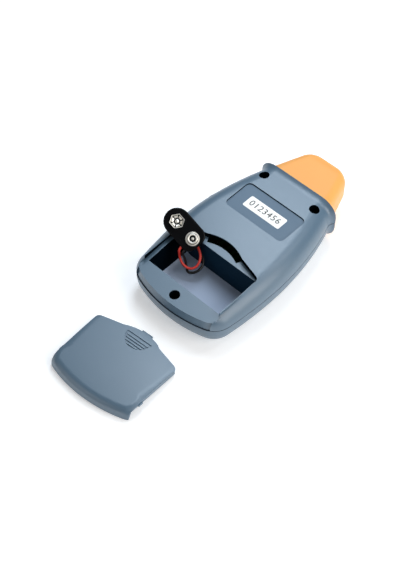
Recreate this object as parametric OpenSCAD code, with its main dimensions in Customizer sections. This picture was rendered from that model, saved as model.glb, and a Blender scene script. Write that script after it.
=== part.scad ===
/* [Case] */
// Length from the battery end to the tip of the hood
overall_l = 134; // [132:0.5:140]
// Greatest width of the case
case_w = 70; // [69:0.5:74]
// Height of the flat part of the back above the front face
case_h = 28; // [27.5:0.25:30]
// Height of the parting line above the front face
part_h = 15; // [14.5:0.25:15.5]
// Wall of the two case halves
wall = 2; // [1.7:0.1:2.2]
// Distance from the battery end to the widest section
widest_l = 47; // [44:0.5:50]
// How far the side falls in from the widest line to the collar
side_fall = 8.7; // [8:0.1:9.2]
// Radius of the sides from the widest section to the battery end
side_rear_r = 240; // [220:5:300]
// Radius of the battery end
end_r = 78; // [72:1:95]
// Radius of the two corners at the battery end
corner_r = 13; // [12.5:0.25:14.5]
// Width of the rounding along the sides of the back
back_edge_w = 10; // [8:0.25:10.5]
// Height of the rounding along the sides of the back
back_edge_h = 9.5; // [8:0.25:10]
// Width of the rounding of the back at the battery end
end_edge_w = 3.5; // [3:0.1:4.5]
// Height of the rounding of the back at the battery end
end_edge_h = 3; // [2.6:0.1:3.6]
// Width of the rounding round the front face
front_edge_w = 11.6; // [9:0.2:12]
// Height of the rounding round the front face
front_edge_h = 12; // [10:0.25:13]
// Length of the flat part of the back, from the collar
flat_l = 37.5; // [32:0.5:41]
// Fall of the back from its flat part to the battery end
end_fall = 6.6; // [5.4:0.1:7]
// Height of the seam between the two halves
seam_h = 0.4; // [0.2:0.1:0.6]
// Depth of the seam between the two halves
seam_d = 0.7; // [0.5:0.1:0.9]

/* [Collar and label panel] */
// Length of the flare that leads up to the collar
flare_l = 5.5; // [4.5:0.25:6.5]
// Sideways rise of the flare
flare_w = 3.1; // [2.5:0.1:3.8]
// Upward rise of the flare
flare_h = 1.3; // [0.8:0.1:1.6]
// Width of the label panel
panel_w = 41.8; // [34:0.2:43]
// Length of the label panel
panel_l = 21.2; // [16:0.2:23]
// Depth of the label panel
panel_depth = 0.8; // [0.3:0.1:0.9]
// Distance from the collar to the label panel
panel_from_collar = 18.3; // [17:0.1:21]
// Radius of the label panel's corners
panel_r = 3; // [1:0.5:5]
// Width of the sticker
label_w = 26.2; // [18:0.2:32]
// Length of the sticker
label_l = 8.5; // [6:0.25:12]
// Thickness of the sticker
label_t = 0.15; // [0.1:0.05:0.3]

/* [Battery bay] */
// Length of the bay across the case, for a 9 V block
bay_w = 52.8; // [51:0.2:53.2]
// Width of the bay along the case, for a 9 V block
bay_l = 27.6; // [27:0.1:28]
// Height of the bay's floor above the front face
bay_floor_h = 4.4; // [4.2:0.1:5]
// Wall of the bay
bay_wall = 1.6; // [1.2:0.1:1.8]
// Distance from the battery end to the bay's far wall
bay_far_l = 41.2; // [40.6:0.1:42]
// Depth of the shelf below the flat back, at the bay's far wall
shelf_depth = 4.75; // [4.4:0.05:5]
// Fall of the ledge towards the battery end, in degrees
ledge_tilt = 4.8; // [4:0.1:5.5]
// Half width of the cover's seat at its far corners
seat_far_half = 28; // [27.8:0.1:28.6]
// Half width of the cover's seat at the battery end
seat_near_half = 27.2; // [27:0.1:27.8]
// Distance from the bay's far wall to the seat's far corners
seat_corner_l = 0.6; // [0.3:0.1:1.2]
// Distance from the bay's far wall to the shoulders of the latch arc
seat_shoulder_l = 4.6; // [4:0.1:5.2]
// Distance from the bay's far wall to the top of the latch arc
seat_arc_l = 7.9; // [7.2:0.1:8.6]
// Half width of the latch arc
seat_arc_half = 12.8; // [11:0.2:14]
// Width of the slot along the latch arc
slot_w = 3.4; // [2.4:0.1:3.6]
// Thickness of the back's skin over the latch opening
latch_skin = 1.9; // [1.5:0.1:2.4]
// Thickness of the cover's end lip at the ledge, with its play
lip_t = 1.6; // [1.4:0.1:1.8]
// Thickness of the cover's end lip at its foot, with its play
lip_foot_t = 0.6; // [0.5:0.1:1]
// Depth of the hook grooves in the seat's sides
groove_d = 1; // [0.6:0.1:1.2]
// Height of the hook grooves
groove_h = 1.3; // [1:0.1:1.5]
// Width of the latch tab
tab_w = 7; // [5:0.5:9]
// Reach of the latch tab past the cover's edge
tab_l = 2; // [1.2:0.1:2.4]
// Play round the cover
cover_play = 0.2; // [0.15:0.05:0.3]
// Bore of the lead hole in the bay's far wall
lead_hole_d = 4.4; // [4:0.2:5]

/* [Hood] */
// Length of the hood in front of the collar
hood_l = 27; // [25:0.5:29]
// Half width of the hood at the collar
hood_half_w = 23; // [22:0.25:23.5]
// Half height of the hood at the collar
hood_half_h = 11.25; // [10.8:0.05:11.5]
// Narrowing of each side from the collar to the tip
hood_taper_w = 8.8; // [5:0.2:10]
// Narrowing of the top and the bottom from the collar to the tip
hood_taper_h = 1.5; // [0.5:0.1:2.5]
// Rounding of the tip in plan
hood_tip_r = 6; // [4:0.25:7]
// Rounding of the long edges
hood_edge_r = 6; // [5:0.25:7]
// Wall of the hood
hood_wall = 2; // [1.6:0.1:2.2]
// Step from the hood in to its neck
neck_step = 3; // [2.8:0.1:3.4]
// Height of the rib round the neck
rib_h = 1.2; // [0.8:0.1:1.4]
// Half width of the window in the tip
window_half_w = 8; // [6:0.25:8.5]
// Half height of the window in the tip
window_half_h = 5; // [3.5:0.25:5.5]

/* [Screws] */
// Distance of the two case screws from the middle
screw_x = 18.5; // [18.2:0.1:19.5]
// Distance of the two case screws from the collar
screw_from_collar = 8.8; // [8.6:0.1:10]
// Distance of the ledge screw from the battery end
screw_from_end = 7; // [6.6:0.1:7.4]
// Diameter of the screw heads
head_d = 5.2; // [4.6:0.1:5.4]
// Height of the screw heads
head_h = 2; // [1.6:0.1:2.4]
// Diameter of the screw shanks
shank_d = 2.6; // [2.2:0.1:2.8]
// Length of the screw shanks
shank_l = 9; // [7:0.5:9.5]
// Diameter of the counterbores
counterbore_d = 6; // [5.8:0.1:6.4]
// Height of the screw seats above the front face
seat_h = 13; // [12.5:0.25:13.5]
// Diameter of the front half's screw posts
post_d = 6.4; // [5.6:0.1:6.8]

/* [Board and display] */
// Thickness of the circuit board
board_t = 1.6; // [1.2:0.1:1.8]
// Height of the board's lower face above the front face
board_h = 9.4; // [9.2:0.1:9.6]
// Distance from the board's sides to the widest part of the case
board_gap = 10; // [9.6:0.1:10.4]
// Width of the display opening
display_w = 33; // [28:0.5:33]
// Length of the display opening
display_l = 18; // [14:0.5:18.5]
// Distance from the collar to the middle of the display
display_from_collar = 27; // [26.5:0.25:27.5]
// Depth of the display window below the front face
display_inset = 0.4; // [0.2:0.1:0.6]
// Thickness of the liquid-crystal glass
lcd_t = 2.6; // [2.2:0.1:2.8]

/* [Keys] */
// Travel of the two keys
key_travel = 0.6; // [0.4:0.1:0.8]
// Diameter of the memory key
mem_d = 11; // [9:0.5:12]
// Depth of the memory key below the front face
mem_inset = 0.6; // [0.4:0.1:0.8]
// Length of the measuring key
test_l = 16; // [13:0.5:17]
// Height of the measuring key
test_h = 7.6; // [6:0.2:8]
// Distance from the collar to the middle of the measuring key
test_from_collar = 39.5; // [38:0.5:41]
// How far the measuring key stands out of the side
test_proud = 1.5; // [1:0.1:2]
// Play round the keys
key_play = 0.2; // [0.15:0.05:0.3]
// Side of the two switches
switch_s = 6; // [5.5:0.1:6.2]
// Height of the two switches
switch_h = 3.5; // [3.3:0.1:3.6]
// Diameter of the switch plungers
plunger_d = 3.4; // [3:0.1:3.6]

/* [Optics] */
// Diameter of the laser module
laser_d = 6.2; // [5.5:0.1:6.4]
// Length of the laser module
laser_l = 16; // [12:0.5:18]
// Diameter of the receiver lens
lens_d = 10; // [8:0.25:10.5]
// Thickness of the receiver lens at its rim
lens_t = 2; // [1.5:0.1:2.5]
// Length of the optic block
optic_l = 24; // [20:0.5:25]

/* [Snap and cover as they lie] */
// Spacing of the snap's two contacts
snap_pitch = 12.7; // [12.4:0.1:13]
// Length of the snap's pad
snap_l = 23; // [22:0.5:25]
// Width of the snap's pad
snap_w = 15; // [14:0.25:15.5]
// Thickness of the snap's pad
snap_t = 2.6; // [2:0.1:3]
// Corner radius of the pad's end at the stud
snap_end_r = 5; // [3:0.5:6]
// Diameter of the leads
lead_d = 1.4; // [1.2:0.1:1.6]
// Turn of the loose cover on the table, in degrees
cover_yaw = 4.2; // [0:0.2:8]
// Distance from the battery end to the loose cover
cover_gap = 11.5; // [10:0.5:30]
// Sideways place of the loose cover
cover_x = -2.4; // [-4:0.2:4]

/* [Hidden] */
$fn = 48;

case_blue = [0.54, 0.62, 0.71];
hood_orange = [0.98, 0.68, 0.38];
black_plastic = [0.10, 0.10, 0.11];
steel = [0.74, 0.74, 0.76];
eps = 0.02;
slack = 0.1;

end_y = -overall_l / 2;
tip_y = overall_l / 2;
mouth_y = tip_y - hood_l;
flare_y = mouth_y - flare_l;
widest_y = end_y + widest_l;
side_l = flare_y - widest_y;
side_front_r = (side_l * side_l + side_fall * side_fall) / (2 * side_fall);
bow_y = mouth_y - flat_l;
bow_l = bow_y - end_y;
bow_r = (bow_l * bow_l + end_fall * end_fall) / (2 * end_fall);
bay_far_y = end_y + bay_far_l;
bay_near_y = bay_far_y - bay_l;
shelf_z = case_h - shelf_depth;
ledge_end_z = shelf_z - bay_far_l * tan(ledge_tilt);
lip_low_z = part_h + seam_h / 2;
lip_h = ledge_end_z - lip_low_z;
board_half_w = case_w / 2 - board_gap;
panel_y = mouth_y - panel_from_collar - panel_l / 2;

// Rows of the case's outline: collar flare, front side, rear side, corner and battery end
flare_rows = 6;
front_rows = 9;
rear_rows = 6;
corner_rows = 8;
end_rows = 7;
edge_steps = 6;
side_rows = flare_rows + front_rows + rear_rows;
rows = side_rows + corner_rows + end_rows;
columns = 2 * rows + 1;

function mix(a, b, t) = a + (b - a) * t;
function unit(v) = v / norm(v);
function flare(y) = pow(max(0, (y - flare_y) / flare_l), 3);

// Where two circles meet, on the side away from the hood
function circles_meet(p, rp, q, rq) = let (
        d = norm(q - p),
        along = (rp * rp - rq * rq + d * d) / (2 * d),
        u = (q - p) / d
    ) p + along * u + sqrt(rp * rp - along * along) * [u.y, -u.x];

rear_c = [case_w / 2 - side_rear_r, widest_y];
end_c = [0, end_y + end_r];
corner_c = circles_meet(rear_c, side_rear_r - corner_r, end_c, end_r - corner_r);
rear_turn = atan2(corner_c.y - rear_c.y, corner_c.x - rear_c.x);
end_turn = atan2(corner_c.y - end_c.y, corner_c.x - end_c.x);

function polar(c, r, a) = [c.x + r * cos(a), c.y + r * sin(a)];
function side_x(y, d) = case_w / 2 - side_front_r + flare_w * flare(y)
    + sqrt(pow(side_front_r - d, 2) - pow(y - widest_y, 2));

// Point i of the right half of the outline, moved in by d, with its collar end moved back by t
function plan_pt(i, d, t = 0) =
    i <= flare_rows ? let (y = mix(mouth_y - t, flare_y, i / flare_rows)) [side_x(y, d), y] :
    i <= flare_rows + front_rows ?
        let (y = mix(flare_y, widest_y, (i - flare_rows) / front_rows)) [side_x(y, d), y] :
    i <= side_rows ?
        polar(rear_c, side_rear_r - d, rear_turn * (i - flare_rows - front_rows) / rear_rows) :
    i <= side_rows + corner_rows ?
        polar(corner_c, corner_r - d, mix(rear_turn, end_turn, (i - side_rows) / corner_rows)) :
        polar(end_c, end_r - d, mix(end_turn, -90, (i - side_rows - corner_rows) / end_rows));

// 0 along the sides, 1 along the battery end
function end_share(i) = min(1, max(0, (i - side_rows) / corner_rows));
function bow(y) = y < bow_y ? bow_r - sqrt(bow_r * bow_r - pow(bow_y - y, 2)) : 0;
function back_z(y) = case_h + flare_h * flare(y) - bow(y);

// Level j of the back: the parting line, then up and over the rounded edge
function back_pt(j, i, t, low_z) = let (
        a = 90 * max(0, j - 1) / edge_steps,
        w = mix(back_edge_w, end_edge_w, end_share(i)) - t,
        room = back_z(plan_pt(i, 0).y) - part_h - 2 * seam_h,
        h = min(mix(back_edge_h, end_edge_h, end_share(i)), room) - t,
        p = plan_pt(i, t + w * (1 - cos(a)), t)
    ) [p.x, p.y, j == 0 ? low_z : back_z(p.y) - t - h * (1 - sin(a))];

// Level j of the front: the parting line, then down and round the edge to the front face
function front_pt(j, i, t, high_z) = let (
        a = 90 * max(0, j - 1) / edge_steps,
        p = plan_pt(i, t + (front_edge_w - t) * (1 - cos(a)), t)
    ) [p.x, p.y, j == 0 ? high_z : t + (front_edge_h - t) * (1 - sin(a))];

function mirrored(row) = concat(row, [for (i = [rows - 1 : -1 : 0]) [-row[i].x, row[i].y, row[i].z]]);
function grid(j, c) = j * columns + c;
function quad(a, b, c, d) = [[a, b, c], [a, c, d]];
function strip(j, i) = quad(grid(j, i), grid(j, i + 1), grid(j, columns - 2 - i), grid(j, columns - 1 - i));
function flip(faces) = [for (f = faces) [f[2], f[1], f[0]]];

// Skin of one half: its wall and rounded edge, its flat cap, its parting face and its collar face
function half_faces(top) = concat(
    [for (j = [0 : top - 1], c = [0 : columns - 2])
        each quad(grid(j, c), grid(j, c + 1), grid(j + 1, c + 1), grid(j + 1, c))],
    [for (i = [0 : rows - 2]) each strip(top, i)],
    [[grid(top, rows - 1), grid(top, rows), grid(top, rows + 1)]],
    flip([for (i = [0 : rows - 2]) each strip(0, i)]),
    flip([[grid(0, rows - 1), grid(0, rows), grid(0, rows + 1)]]),
    [for (j = [0 : top - 1])
        each quad(grid(j, 0), grid(j + 1, 0), grid(j + 1, columns - 1), grid(j, columns - 1))]);

module back_solid(t, low_z) {
    polyhedron(
        [for (j = [0 : edge_steps + 1]) each mirrored([for (i = [0 : rows]) back_pt(j, i, t, low_z)])],
        half_faces(edge_steps + 1));
}

module front_solid(t, high_z) {
    polyhedron(
        [for (j = [0 : edge_steps + 1]) each mirrored([for (i = [0 : rows]) front_pt(j, i, t, high_z)])],
        flip(half_faces(edge_steps + 1)));
}

module plan_outline(d) {
    right = [for (i = [0 : rows]) plan_pt(i, d)];
    polygon(concat(right, [for (i = [rows - 1 : -1 : 0]) [-right[i].x, right[i].y]]));
}

// Corner b of an outline, rounded between its neighbours a and c
function round_corner(a, b, c, r, n = 5) = let (
        u = unit(a - b),
        v = unit(c - b),
        half = acos(u * v) / 2,
        centre = b + unit(u + v) * r / sin(half),
        s = b + u * r / tan(half) - centre,
        e = b + v * r / tan(half) - centre,
        first = atan2(s.y, s.x),
        turn = atan2(s.x * e.y - s.y * e.x, s * e)
    ) [for (k = [0 : n]) polar(centre, r, first + turn * k / n)];

function rect_pts(w, h, r, n = 5) = let (
        p = [[w / 2, h / 2], [-w / 2, h / 2], [-w / 2, -h / 2], [w / 2, -h / 2]]
    ) [for (k = [0 : 3]) each round_corner(p[(k + 3) % 4], p[k], p[(k + 1) % 4], r, n)];

module rounded_rect(w, h, r, n = 5) {
    polygon(rect_pts(w, h, r, n));
}

// Extrudes a profile of the x and z axes along y, from y up to y + l
module along_y(y, l) {
    translate([0, y + l, 0]) rotate([90, 0, 0]) linear_extrude(l) children();
}

// Extrudes a profile of the y and z axes along x, from x up to x + l
module along_x(x, l) {
    translate([x, 0, 0]) rotate([90, 0, 90]) linear_extrude(l) children();
}

// The frame of the ledge that the cover lies on: z is 0 on the ledge
module on_ledge() {
    translate([0, bay_far_y, shelf_z]) rotate([ledge_tilt, 0, 0]) translate([0, -bay_far_y, 0]) children();
}

module off_ledge() {
    translate([0, bay_far_y, 0]) rotate([-ledge_tilt, 0, 0]) translate([0, -bay_far_y, -shelf_z]) children();
}

// The latch arc across the middle of the seat's far edge, moved out by g
arc_rise = seat_arc_l - seat_shoulder_l;
arc_r = (seat_arc_half * seat_arc_half + arc_rise * arc_rise) / (2 * arc_rise);
arc_c = [0, bay_far_y + seat_arc_l - arc_r];
arc_turn = asin(seat_arc_half / arc_r);
function latch_arc(g, turn = arc_turn, n = 12) =
    [for (k = [0 : n]) polar(arc_c, arc_r + g, 90 - turn + 2 * turn * k / n)];

seat_corner_r = 2.5;
past_end = 6;
function seat_pts(g) = let (
        near = [seat_near_half + g, end_y - past_end],
        far = [seat_far_half + g, bay_far_y + seat_corner_l + g],
        arc = latch_arc(g),
        right = round_corner(near, far, arc[0], seat_corner_r)
    ) concat([near], right, arc, [for (k = [len(right) - 1 : -1 : 0]) [-right[k].x, right[k].y]],
        [[-near.x, near.y]]);

module seat(g) {
    polygon(seat_pts(g));
}

// The strip at the battery end that backs the cover's lip
module lip_strip(d, half) {
    difference() {
        translate([-half, end_y - past_end]) square([2 * half, past_end + bay_near_y - end_y]);
        plan_outline(d);
    }
}

// The case inside the lip: it leans in from the parting line up to the ledge
core_levels = [[part_h - 1, lip_foot_t], [lip_low_z, lip_foot_t], [ledge_end_z, lip_t], [2 * case_h, lip_t]];
module end_core(play) {
    polyhedron([for (level = core_levels) each mirrored([for (i = [0 : rows])
        let (p = plan_pt(i, level[1] - play)) [p.x, p.y, level[0]]])], half_faces(len(core_levels) - 1));
}

module lip_zone(low_z, half, play) {
    difference() {
        translate([-half, end_y - past_end, low_z]) cube([2 * half, past_end + bay_near_y - end_y, case_h]);
        end_core(play);
    }
}

// The latch opening: through the ledge along the arc and on under the back's skin
module latch_slot() {
    turn = 0.95 * arc_turn;
    polygon(concat(latch_arc(wall + 1, turn), [for (p = latch_arc(-slot_w, turn)) [-p.x, p.y]]));
}

rim_end_l = 5.4;
hook_l = 3;
notch_y = end_y + 8.4;
notch_l = hook_l + 2 * cover_play;
hook_y = notch_y + notch_l + slack;

module groove_band(y, l) {
    translate([-case_w, y]) square([2 * case_w, l]);
}

bay_round = 6;
bay_draft = 2;
function bay_pts(t) = let (
        top = shelf_z + wall,
        half = bay_w / 2 + t,
        low = bay_floor_h - t,
        p = [[half, top], [-half, top], [bay_draft - half, low], [half - bay_draft, low]],
        r = bay_round - bay_wall + t
    ) concat([p[0], p[1]], round_corner(p[1], p[2], p[3], r), round_corner(p[2], p[3], p[0], r));

screw_y = mouth_y - screw_from_collar;
ledge_screw_y = end_y + screw_from_end;
screw_places = [[screw_x, screw_y], [-screw_x, screw_y], [0, ledge_screw_y]];
boss_d = counterbore_d + 2.4;
seat_t = 2;
boss_low = seat_h - seat_t;

hood_z = case_h - 1 - hood_half_h;
neck_half_w = hood_half_w - neck_step;
neck_half_h = hood_half_h - neck_step;
neck_r = hood_edge_r - neck_step;
neck_play = 0.15;

test_y = mouth_y - test_from_collar;

module hood_opening() {
    along_y(mouth_y - 2 * wall, 4 * wall) translate([0, hood_z])
        rounded_rect(2 * (neck_half_w + neck_play), 2 * (neck_half_h + neck_play), neck_r + neck_play);
}

module test_opening() {
    along_x(-case_w, case_w - board_half_w) translate([test_y, part_h])
        rounded_rect(test_l + 2 * key_play, test_h + 2 * key_play, test_h / 2 + key_play, 8);
}

lead_hole_x = -16;
lead_hole_z = 18.6;

module rear_case() color(case_blue) difference() {
    union() {
        difference() {
            back_solid(0, part_h);
            back_solid(wall, part_h - 1);
        }
        intersection() {
            back_solid(0, part_h);
            on_ledge() translate([0, 0, -wall]) linear_extrude(case_h) seat(wall);
        }
        intersection() {
            back_solid(0, part_h);
            on_ledge() translate([0, 0, -lip_h]) linear_extrude(lip_h + wall)
                lip_strip(2 * wall, seat_near_half + wall);
        }
        along_y(bay_near_y - bay_wall, bay_l + 2 * bay_wall) polygon(bay_pts(bay_wall));
        intersection() {
            back_solid(wall / 2, 0);
            for (p = screw_places) translate([p.x, p.y, boss_low])
                cylinder(d = boss_d, h = (p.y > 0 ? case_h : shelf_z - lip_h) - boss_low);
        }
    }
    on_ledge() linear_extrude(case_h) {
        seat(0);
        groove_band(end_y - past_end, past_end + rim_end_l);
        intersection() {
            seat(groove_d);
            groove_band(notch_y, notch_l);
        }
    }
    lip_zone(lip_low_z, seat_near_half, 0);
    on_ledge() translate([0, 0, -2 * wall]) linear_extrude(2 * wall + shelf_depth - latch_skin) latch_slot();
    translate([0, 0, part_h - seam_h]) linear_extrude(2 * seam_h) difference() {
        plan_outline(-flare_w);
        plan_outline(seam_d);
    }
    on_ledge() linear_extrude(groove_h) intersection() {
        seat(groove_d);
        groove_band(notch_y, bay_far_y - notch_y - seat_corner_r);
    }
    on_ledge() translate([-tab_w / 2 - cover_play, arc_c.y + arc_r - 1, 0])
        cube([tab_w + 2 * cover_play, tab_l + wall, groove_h + cover_play]);
    along_y(bay_near_y, bay_l) polygon(bay_pts(0));
    translate([lead_hole_x, bay_far_y - 1, lead_hole_z]) rotate([-90, 0, 0])
        cylinder(d = lead_hole_d, h = bay_wall + 2);
    for (p = screw_places) translate([p.x, p.y, 0]) {
        translate([0, 0, seat_h]) cylinder(d = counterbore_d, h = case_h);
        cylinder(d = shank_d + 2 * slack, h = case_h);
    }
    translate([0, panel_y, case_h - panel_depth]) linear_extrude(case_h)
        rounded_rect(panel_w, panel_l, panel_r);
    hood_opening();
    test_opening();
}

board_back_y = bay_far_y + bay_wall + 1;
board_front_y = screw_y + 3.4;
board_neck_y = screw_y - boss_d / 2 - 1;
board_post_x = board_half_w - 4;
board_post_y = board_back_y + 5;
board_post_d = 5;
board_screw_d = 2;
board_screw_l = 5;
display_y = mouth_y - display_from_collar;
display_r = 2;
window_rim = 1.2;
window_rim_t = 1;
post_high = boss_low - slack;

board_post_places = [[board_post_x, board_post_y], [-board_post_x, board_post_y]];

module front_case() color(case_blue) difference() {
    union() {
        difference() {
            front_solid(0, part_h);
            front_solid(wall, part_h + 1);
        }
        intersection() {
            front_solid(wall / 2, part_h);
            union() {
                for (p = screw_places) translate(p) cylinder(d = post_d, h = post_high);
                for (p = board_post_places) translate(p) cylinder(d = board_post_d, h = board_h);
            }
        }
    }
    for (p = screw_places) translate([p.x, p.y, 1.5 * wall]) cylinder(d = shank_d, h = part_h);
    for (p = board_post_places) translate([p.x, p.y, 1.5 * wall]) cylinder(d = board_screw_d, h = part_h);
    hood_opening();
    test_opening();
    translate([0, mem_y, -eps]) cylinder(d = mem_d + 2 * key_play, h = 2 * wall);
    translate([0, display_y, -eps]) linear_extrude(2 * wall) rounded_rect(display_w, display_l, display_r);
}

hood_corner_n = 6;
function hood_ring(y, w, h, r) = [for (p = rect_pts(2 * w, 2 * h, r, hood_corner_n)) [p.x, y, hood_z + p.y]];
function hood_share(y) = (y - mouth_y) / hood_l;
function hood_outer(y, inset_w, inset_h) = hood_ring(y, hood_half_w - hood_taper_w * hood_share(y) - inset_w,
    hood_half_h - hood_taper_h * hood_share(y) - inset_h, hood_edge_r - inset_h);

rib_l = 1.7;
neck_back_y = mouth_y - wall - rib_l - neck_play;
hood_tip_h = 2.5;
tip_steps = 6;
module nose_hood() color(hood_orange) {
    tip_start = tip_y - hood_tip_r;
    inner_tip = tip_y - hood_wall;
    rings = concat(
        [hood_ring(neck_back_y, neck_half_w + rib_h, neck_half_h + rib_h, neck_r + rib_h),
         hood_ring(neck_back_y + rib_l, neck_half_w + rib_h, neck_half_h + rib_h, neck_r + rib_h),
         hood_ring(neck_back_y + rib_l, neck_half_w, neck_half_h, neck_r),
         hood_ring(mouth_y, neck_half_w, neck_half_h, neck_r),
         hood_outer(mouth_y, 0, 0)],
        [for (k = [0 : tip_steps]) let (a = 90 * k / tip_steps)
            hood_outer(tip_start + hood_tip_r * sin(a), hood_tip_r * (1 - cos(a)), hood_tip_h * (1 - cos(a)))],
        [hood_ring(tip_y, window_half_w, window_half_h, 2),
         hood_ring(inner_tip, window_half_w, window_half_h, 2),
         hood_outer(inner_tip, hood_tip_r - 1, hood_tip_h + hood_wall),
         hood_outer(tip_start, hood_wall, hood_wall),
         hood_outer(mouth_y + hood_wall, hood_wall, hood_wall),
         hood_ring(mouth_y + hood_wall, neck_half_w - hood_wall, neck_half_h - hood_wall, neck_r - 1),
         hood_ring(neck_back_y, neck_half_w - hood_wall, neck_half_h - hood_wall, neck_r - 1)]);
    n = len(rings[0]);
    m = len(rings);
    polyhedron([for (ring = rings) each ring], [for (k = [0 : m - 1], c = [0 : n - 1]) let (
        up = (k + 1) % m * n,
        side = (c + 1) % n
    ) each quad(k * n + c, up + c, up + side, k * n + side)]);
}

window_t = 1.5;
module filter_window() color([0.35, 0.05, 0.06, 0.8])
    along_y(tip_y - window_t - 0.4, window_t) translate([0, hood_z])
        rounded_rect(2 * window_half_w - slack, 2 * window_half_h - slack, 2);

grip_r = 8.4;
grip_y = bay_far_y + seat_shoulder_l - 1.4;
grip_depth = 0.5;
grip_ribs = 4;
rib_pitch = 1.75;
rib_t = 1.05;

// The grooves of the thumb grip: a half disc less its ribs
module grip_plan() translate([0, grip_y]) difference() {
    intersection() {
        circle(r = grip_r);
        translate([-grip_r, -2 * grip_r]) square([2 * grip_r, 2 * grip_r]);
    }
    for (k = [1 : grip_ribs]) translate([0, -k * rib_pitch]) {
        half = sqrt(grip_r * grip_r - pow(k * rib_pitch, 2)) - rib_t;
        translate([-half, -rib_t / 2]) square([2 * half, rib_t]);
    }
}

// The cover in the frame of the ledge that it closes on
module cover_body() {
    difference() {
        intersection() {
            off_ledge() back_solid(0, part_h);
            union() {
                translate([0, 0, cover_play]) linear_extrude(case_h) seat(-cover_play);
                off_ledge() lip_zone(lip_low_z + cover_play, seat_near_half - cover_play, cover_play);
            }
        }
        difference() {
            linear_extrude(case_h) grip_plan();
            off_ledge() translate([0, 0, -grip_depth]) back_solid(0, part_h);
        }
    }
    translate([-tab_w / 2, arc_c.y + arc_r - 2, cover_play]) cube([tab_w, 2 + tab_l, groove_h - cover_play]);
    translate([0, 0, cover_play]) linear_extrude(groove_h - cover_play) polygon(concat(
        latch_arc(tab_l / 2, 0.7 * arc_turn), [for (p = latch_arc(-2, 0.7 * arc_turn)) [-p.x, p.y]]));
    for (s = [-1, 1]) translate([s * (seat_near_half - cover_play), hook_y, cover_play])
        translate([s > 0 ? -1 : -groove_d, 0, 0]) cube([1 + groove_d, hook_l, groove_h - 2 * cover_play]);
}

// The loose cover stands on the ends of its lip and on its latch tab
lip_corner_y = corner_c.y - sqrt(pow(corner_r - lip_foot_t, 2) - pow(seat_near_half - corner_c.x, 2));
lip_corner = [lip_corner_y - bay_far_y, lip_low_z + cover_play - shelf_z];
lip_rest_y = bay_far_y + lip_corner[0] * cos(ledge_tilt) + lip_corner[1] * sin(ledge_tilt);
lip_rest_z = lip_corner[1] * cos(ledge_tilt) - lip_corner[0] * sin(ledge_tilt);
tab_rest_y = arc_c.y + arc_r + tab_l;
lie_tilt = atan((cover_play - lip_rest_z) / (tab_rest_y - lip_rest_y));
lie_lift = tab_rest_y * sin(lie_tilt) - cover_play * cos(lie_tilt) + 0.05;
module battery_cover() color(case_blue)
    translate([cover_x, end_y - cover_gap, 0]) rotate([0, 0, cover_yaw]) translate([0, -tab_rest_y, lie_lift])
        rotate([-lie_tilt, 0, 0]) cover_body();

module serial_label() color("white")
    translate([0, panel_y, case_h - panel_depth]) linear_extrude(label_t) rounded_rect(label_w, label_l, 1);

glass_z = wall + slack + window_rim_t;
module display_window() color([0.55, 0.6, 0.6, 0.5]) translate([0, display_y, 0]) {
    translate([0, 0, display_inset]) linear_extrude(wall - display_inset + slack + eps)
        rounded_rect(display_w - slack, display_l - slack, display_r);
    translate([0, 0, wall + slack]) linear_extrude(window_rim_t)
        rounded_rect(display_w + 2 * window_rim, display_l + 2 * window_rim, display_r);
}

lcd_w = display_w - 1;
lcd_l = display_l + 2;
module lcd_glass() color([0.45, 0.52, 0.45])
    translate([-lcd_w / 2, display_y - lcd_l / 2, glass_z]) cube([lcd_w, lcd_l, lcd_t]);

bezel_t = 1.4;
bezel_back_y = display_y - lcd_l / 2 - slack - bezel_t;
mem_y = (bay_far_y + bay_wall + bezel_back_y) / 2;
module lcd_bezel() color(black_plastic) translate([0, display_y, glass_z]) linear_extrude(board_h - glass_z)
    difference() {
        square([lcd_w + 2 * (slack + bezel_t), lcd_l + 2 * (slack + bezel_t)], center = true);
        square([lcd_w + 2 * slack, lcd_l + 2 * slack], center = true);
    }

zebra_t = 2;
zebra_inset = 1;
module zebra_strips() color([0.85, 0.5, 0.55]) for (s = [-1, 1])
    translate([-lcd_w / 2 + zebra_inset, display_y + s * (lcd_l / 2 - zebra_inset - zebra_t / 2) - zebra_t / 2,
        glass_z + lcd_t]) cube([lcd_w - 2 * zebra_inset, zebra_t, board_h - glass_z - lcd_t]);

board_top = board_h + board_t;
module circuit_board() color([0.1, 0.4, 0.22]) translate([0, 0, board_h]) difference() {
    linear_extrude(board_t) {
        translate([-board_half_w, board_back_y]) square([2 * board_half_w, board_neck_y - board_back_y]);
        translate([-optic_half_w, board_back_y]) square([2 * optic_half_w, board_front_y - board_back_y]);
    }
    for (p = board_post_places) translate([p.x, p.y, -1])
        cylinder(d = board_screw_d + 2 * slack, h = board_t + 2);
}

board_head_d = 4;
board_head_h = 1.4;
module board_screws() color(steel) for (p = board_post_places) translate([p.x, p.y, board_top]) {
    cylinder(d = board_head_d, h = board_head_h);
    translate([0, 0, -board_screw_l]) cylinder(d = board_screw_d, h = board_screw_l + eps);
}

module case_screws() color(steel) for (p = screw_places) translate([p.x, p.y, seat_h]) {
    cylinder(d = head_d, h = head_h);
    translate([0, 0, -shank_l]) cylinder(d = shank_d, h = shank_l + eps);
}

blob_r = 7;
blob_h = 2;
blob_sphere = (blob_r * blob_r + blob_h * blob_h) / (2 * blob_h);
blob_turn = asin(blob_r / blob_sphere);
module chip_blob() color(black_plastic) translate([5, display_y - 9, board_top]) rotate_extrude()
    polygon(concat([[0, 0]],
        [for (k = [0 : 8]) polar([0, blob_h - blob_sphere], blob_sphere, 90 - blob_turn * (1 - k / 8))]));

crystal_l = 11;
crystal_w = 4.6;
module crystal() color(steel) translate([16 - board_half_w, display_y - 13, board_top]) linear_extrude(3.4)
    rounded_rect(crystal_l, crystal_w, crystal_w / 2 - slack);

module capacitor() color([0.12, 0.14, 0.3]) translate([board_half_w - 8, display_y + 2, board_top])
    cylinder(d = 5, h = 7);

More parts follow.
